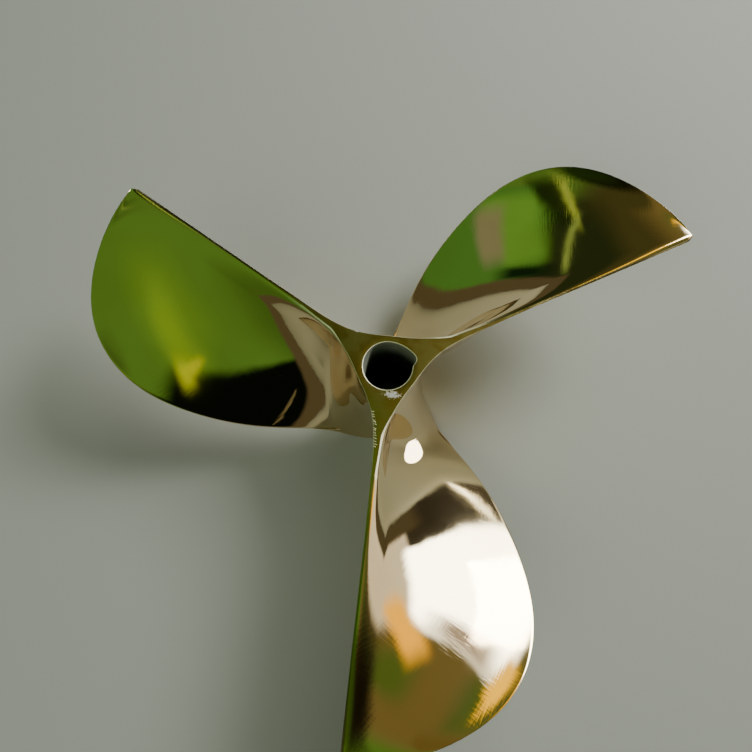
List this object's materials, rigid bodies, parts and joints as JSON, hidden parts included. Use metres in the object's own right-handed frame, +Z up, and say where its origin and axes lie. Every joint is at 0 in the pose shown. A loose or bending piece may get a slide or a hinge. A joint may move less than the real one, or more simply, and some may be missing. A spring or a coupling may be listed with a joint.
{
  "type": "boat propeller",
  "caption": "Left-hand boat propeller cast in one piece of bronze: twisted blades with straight upper edges round a hub with a tapered, keyed shaft bore.",
  "frame": {"origin": "on the shaft's axis, at the lower end face of the hub, which the propeller rests on", "axes": "+Z runs up along the shaft's axis to the small end of the hub; +X runs along the straight edge of the blade that the keyway faces"},
  "size_m": [0.3281, 0.3351, 0.091],
  "materials": {
    "polished_bronze": "polished cast bronze with fine buffing scratches; the flat end face and edges are ground"
  },
  "bodies": {
    "root": {"propeller_casting": "polished_bronze"}
  },
  "joints": []
}
